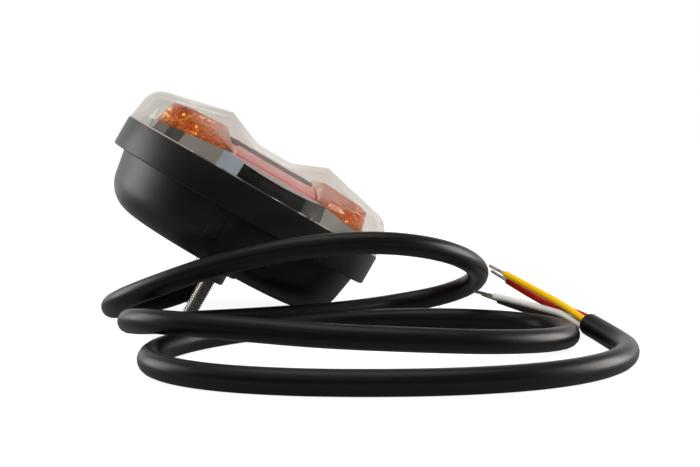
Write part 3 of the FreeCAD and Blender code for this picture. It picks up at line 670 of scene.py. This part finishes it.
# Cable: four cores in a round sheath of soft black plastic, extruded over them.
# It leaves the gland, turns over the table and lies in three loose loops in front of the lamp.
CABLE_RADIUS = 2.75
LEAD_OUT = 5.5
GLAND_MOUTH = -26.7
CORD_STEPS = 8
CORD_ROUNDING = 7
CORD_ORDER = 3
CABLE_ROUTE = (
    (-20.8, -5.1, 4.4),
    (-27.8, -11.0, 3.2),
    (-33.0, -20.5, 3.6),
    (-34.0, -32.5, 5.4),
    (-29.8, -44.0, 9.0),
    (-19.0, -51.0, 13.8),
    (-3.0, -54.5, 19.6),
    (16.0, -56.0, 23.8),
    (35.0, -54.5, 25.0),
    (51.0, -48.0, 22.4),
    (61.0, -36.5, 17.0),
    (62.0, -23.5, 11.0),
    (54.0, -14.0, 6.0),
    (41.5, -13.0, 3.5),
    (27.5, -22.0, 2.8),
    (11.5, -30.0, 2.8),
    (-5.0, -36.2, 2.8),
    (-17.5, -43.8, 3.4),
    (-24.5, -55.5, 5.4),
    (-22.5, -68.5, 8.4),
    (-12.5, -79.0, 9.6),
    (3.5, -84.5, 9.2),
    (22.0, -87.0, 8.0),
    (41.2, -86.0, 7.0),
    (59.5, -81.5, 5.6),
    (74.0, -72.0, 4.2),
    (81.5, -58.5, 3.2),
    (77.5, -44.4, 2.8),
    (65.0, -36.0, 2.8),
    (48.0, -33.0, 2.8),
    (30.0, -36.5, 2.8),
    (14.0, -43.5, 2.8),
    (0.0, -53.5, 2.8),
    (-10.5, -65.5, 2.8),
    (-16.0, -79.5, 2.8),
    (-13.5, -93.0, 2.8),
    (-2.5, -103.0, 2.8),
    (13.5, -108.3, 2.8),
    (33.0, -109.6, 2.8),
    (52.5, -107.8, 2.8),
    (70.0, -102.0, 2.8),
    (83.5, -91.5, 2.8),
    (90.5, -77.5, 2.8),
    (90.2, -64.2, 2.9),
    (86.1, -53.0, 4.6),
)
cable_points = [in_lamp(0.0, 0.0, GLAND_MOUTH), in_lamp(0.0, 0.0, GLAND_MOUTH - LEAD_OUT)]
cable_points += [Vector(point) * MM for point in CABLE_ROUTE]


def lay_cord(name, points, radius, material, node_name):
    """A round cord along a smooth curve that its route's points steer."""
    curve = bpy.data.curves.new(name, "CURVE")
    curve.dimensions = "3D"
    curve.resolution_u = CORD_STEPS
    curve.bevel_depth = radius * MM
    curve.bevel_resolution = CORD_ROUNDING
    curve.use_fill_caps = True
    spline = curve.splines.new("NURBS")
    spline.points.add(len(points) - 1)
    for control, point in zip(spline.points, points):
        control.co = (*point, 1.0)
    spline.order_u = CORD_ORDER
    spline.use_endpoint_u = True
    return add_piece(name, curve, material, node_name)


sheath = moulded_plastic(
    "cable_sheath", (0.0025, 0.0024, 0.0022), (0.0045, 0.0043, 0.004),
    roughness=0.36, spread=0.12, grain_scale=1500.0, relief=0.01, patch_scale=120.0, gloss=0.3,
)
cable = lay_cord("cable_sheath", cable_points, CABLE_RADIUS, sheath, "cable")


# Cores: four wires in coloured plastic insulation that fan out of the cut cable.
# Each is stripped to a short end of seven tinned copper strands, twisted together.
CORE_RADIUS = 0.85
CORE_RING = 0.95
CORE_OUT = 3.0
TIP_RADIUS = 0.45
TIP_LENGTH = 6.0
OUTER_STRANDS = 6
STRAND_RADIUS = TIP_RADIUS / 3
STRAND_REACH = 1.9 * STRAND_RADIUS
STRAND_TURNS = 0.9
STRAND_STEPS = 28
STRAND_SIDES = 8
CORES = {
    "yellow": {
        "place": (-1, 1), "length": 0.0303, "colour": (0.95, 0.56, 0.0), "shade": (0.88, 0.49, 0.0),
        "route": ((81.4, -46.6, 8.0), (76.6, -40.4, 10.3), (68.6, -29.6, 13.9)),
    },
    "red": {
        "place": (1, 1), "length": 0.031, "colour": (0.44, 0.014, 0.009), "shade": (0.38, 0.011, 0.007),
        "route": ((82.9, -45.3, 6.8), (79.4, -39.6, 6.8), (74.2, -34.0, 9.2), (69.4, -28.5, 11.9)),
    },
    "white": {
        "place": (-1, -1), "length": 0.0304, "colour": (0.82, 0.8, 0.77), "shade": (0.76, 0.74, 0.71),
        "route": ((81.0, -46.1, 6.0), (77.6, -41.5, 6.4), (73.7, -36.9, 7.1), (65.6, -31.0, 8.3)),
    },
    "black": {
        "place": (1, -1), "length": 0.0333, "colour": (0.02, 0.02, 0.02), "shade": (0.03, 0.03, 0.03),
        "route": ((83.2, -45.2, 4.3), (79.6, -39.4, 4.2), (73.7, -33.0, 4.8), (67.5, -25.8, 6.3)),
    },
}
end_run = (cable_points[-1] - cable_points[-2]).normalized()
end_side = end_run.cross(Vector((0, 0, 1))).normalized()
end_up = end_side.cross(end_run)
tinned = bright_metal(
    "tinned_strand", (0.52, 0.5, 0.46), (0.7, 0.68, 0.64),
    patch_scale=1500.0, detail=3.0, smoothest=0.22, spread=0.2,
)


def stranded_tip(name, start, way, node_name):
    """A straight strand and six that twist around it, as one tinned end."""
    shape = bmesh.new()
    across = way.orthogonal().normalized()
    beside = way.cross(across)

    def around(turns):
        return across * math.cos(2 * math.pi * turns) + beside * math.sin(2 * math.pi * turns)

    for strand in range(OUTER_STRANDS + 1):
        reach = 0.0 if strand == 0 else STRAND_REACH
        rings = []
        for step in range(STRAND_STEPS + 1):
            share = step / STRAND_STEPS
            twist = strand / OUTER_STRANDS + STRAND_TURNS * share
            middle = start + way * TIP_LENGTH * MM * share + around(twist) * reach * MM
            rings.append([
                shape.verts.new(middle + around(side / STRAND_SIDES) * STRAND_RADIUS * MM)
                for side in range(STRAND_SIDES)
            ])
        bridge_rings(shape, rings)
        shape.faces.new(rings[0][::-1])
        shape.faces.new(rings[-1])
    return add_piece(name, finish_mesh(shape, name), tinned, node_name)


for colour_name, core in CORES.items():
    sideways, upwards = core["place"]
    core_start = cable_points[-1] + (end_side * sideways + end_up * upwards) * CORE_RING * MM
    core_points = [core_start, core_start + end_run * CORE_OUT * MM]
    core_points += [Vector(point) * MM for point in core["route"]]
    insulation = moulded_plastic(
        f"insulation_{colour_name}", core["colour"], core["shade"],
        roughness=0.4, spread=0.1, grain_scale=2200.0, relief=0.01, patch_scale=200.0, gloss=0.2,
    )
    wire = lay_cord(
        f"core_{colour_name}_insulation", core_points, CORE_RADIUS, insulation,
        f"core_{colour_name}",
    )
    tip_way = (core_points[-1] - core_points[-2]).normalized()
    tip = stranded_tip(f"tip_{colour_name}_strands", core_points[-1], tip_way, f"tip_{colour_name}")


# Studio floor: a white sheet that keeps the lamp's shadow. The camera sees it glow, and mirrors
# and clear plastic do so only behind the lamp and not far to its right.
FLOOR_HALF = 2.0
FLOOR_GREY = (0.3, 0.3, 0.3, 1.0)
FLOOR_GLOW = 0.88
FLOOR_BEHIND = (0.05, 0.3)
FLOOR_ASIDE = (0.08, 0.16)
WHITE = (1.0, 1.0, 1.0, 1.0)
floor_mesh = bpy.data.meshes.new("studio_floor")
floor_mesh.from_pydata([(x * FLOOR_HALF, y * FLOOR_HALF, 0.0) for x, y in SQUARE], [], [(0, 1, 2, 3)])
floor = place_object("studio_floor", floor_mesh)
floor_paint, floor_tree, floor_shader = new_material("studio_white")
floor_mesh.materials.append(floor_paint)
set_sockets(floor_shader, {
    "Base Color": FLOOR_GREY, "Roughness": 0.9, "Specular IOR Level": 0.0, "Emission Color": WHITE,
})
floor_rays = floor_tree.nodes.new("ShaderNodeLightPath").outputs
floor_place = floor_tree.nodes.new("ShaderNodeNewGeometry")
floor_axes = floor_tree.nodes.new("ShaderNodeSeparateXYZ")
floor_tree.links.new(floor_place.outputs["Position"], floor_axes.inputs["Vector"])
floor_behind = ramp(floor_tree, floor_axes.outputs["Y"], *FLOOR_BEHIND)
floor_near = ramp(floor_tree, floor_axes.outputs["X"], *FLOOR_ASIDE, low=1.0, high=0.0)
bounced = maths(floor_tree, "ADD", floor_rays["Is Glossy Ray"], floor_rays["Is Transmission Ray"])
bounced = maths(floor_tree, "MULTIPLY", bounced, floor_behind)
bounced = maths(floor_tree, "MULTIPLY", bounced, floor_near)
seen = maths(floor_tree, "ADD", floor_rays["Is Camera Ray"], bounced, clamp=True)
far_glow = maths(floor_tree, "MULTIPLY_ADD", floor_behind, 1.0 - FLOOR_GLOW, FLOOR_GLOW)
glow = maths(floor_tree, "MULTIPLY", seen, far_glow)
floor_tree.links.new(glow, floor_shader.inputs["Emission Strength"])


# Studio surround: white to the camera. Other rays see it bright low behind the lamp, dimmer
# overhead and almost dark on the camera's side, as in a room with a lit backdrop.
ROOM_DARK = 0.03
ROOM_OVERHEAD = 0.15
BACKDROP_REACH = (-0.45, 0.35)
BACKDROP_RISE = (0.2, 0.7)
world = bpy.data.worlds.new("studio_surround")
bpy.context.scene.world = world
world.use_nodes = True
sky = world.node_tree
sky_rays = sky.nodes.new("ShaderNodeLightPath")
sky_place = sky.nodes.new("ShaderNodeTexCoord")
sky_axes = sky.nodes.new("ShaderNodeSeparateXYZ")
sky.links.new(sky_place.outputs["Generated"], sky_axes.inputs["Vector"])
sky_behind = ramp(sky, sky_axes.outputs["Y"], *BACKDROP_REACH, low=ROOM_DARK, high=1.0)
sky_low = ramp(sky, sky_axes.outputs["Z"], *BACKDROP_RISE, low=1.0, high=ROOM_OVERHEAD)
sky_shown = sky.nodes.new("ShaderNodeMix")
sky_shown.data_type = "FLOAT"
sky.links.new(sky_rays.outputs["Is Camera Ray"], sky_shown.inputs["Factor"])
sky.links.new(maths(sky, "MULTIPLY", sky_behind, sky_low), sky_shown.inputs["A"])
sky_shown.inputs["B"].default_value = 1.0
sky_back = sky.nodes["Background"]
sky_back.inputs["Color"].default_value = WHITE
sky.links.new(sky_shown.outputs["Result"], sky_back.inputs["Strength"])


# Studio lamps: warm softboxes above and on both sides, and a fill that nothing mirrors.
# A small bluish window and a grey card stand where the skirt's facets mirror them.
WARM = (1.0, 0.95, 0.9)
NEUTRAL = (1.0, 1.0, 1.0)
BLUISH = (0.72, 0.84, 1.0)
LAMP_MIDDLE = (0.0, 0.0, 0.03)


def softbox(name, place, size, watts, colour, aim=LAMP_MIDDLE, mirrored=True):
    """A soft rectangular lamp aimed at a point, which shiny surfaces may mirror."""
    light = bpy.data.lights.new(name, "AREA")
    light.shape = "RECTANGLE"
    light.size, light.size_y = size
    light.energy = watts
    light.color = colour
    holder = place_object(name, light)
    holder.location = place
    holder.visible_glossy = mirrored
    holder.visible_transmission = mirrored
    holder.rotation_euler = (Vector(aim) - Vector(place)).to_track_quat("-Z", "Y").to_euler()


softbox("top_softbox", (0.0, -0.05, 0.7), (0.6, 0.5), 1.3, WARM, aim=(0.02, -0.02, 0.0))
softbox("front_fill", (0.1, -0.6, 0.5), (0.8, 0.6), 5.0, NEUTRAL, aim=(0.03, -0.02, 0.02), mirrored=False)
softbox("left_softbox", (-0.6, 0.13, 0.25), (0.4, 0.4), 2.2, WARM)
softbox("right_softbox", (0.65, 0.05, 0.2), (0.4, 0.4), 4.0, WARM, aim=(0.03, -0.03, 0.03))
softbox("front_window", (-0.03, -0.55, 0.45), (0.16, 0.2), 0.07, BLUISH)
softbox("grey_card", (-0.38, -0.35, 0.57), (0.6, 0.4), 0.26, WARM)


# Camera: in front of the lamp and a little above the table, at the photograph's viewing angle.
# Its place, tilt and focal length are fitted to the photograph.
CAMERA_PLACE = (0.0282, -0.3396, 0.0543)
CAMERA_TILT = math.radians(84.5)
SENSOR_WIDTH = 36.0
FOCAL_LENGTH = 61.7
NEAREST = 0.01
camera_data = bpy.data.cameras.new("photo_camera")
camera_data.sensor_width = SENSOR_WIDTH
camera_data.lens = FOCAL_LENGTH
camera_data.clip_start = NEAREST
camera = place_object("photo_camera", camera_data)
camera.location = CAMERA_PLACE
camera.rotation_euler = (CAMERA_TILT, 0.0, 0.0)
bpy.context.scene.camera = camera
bpy.context.scene.view_settings.view_transform = "Standard"
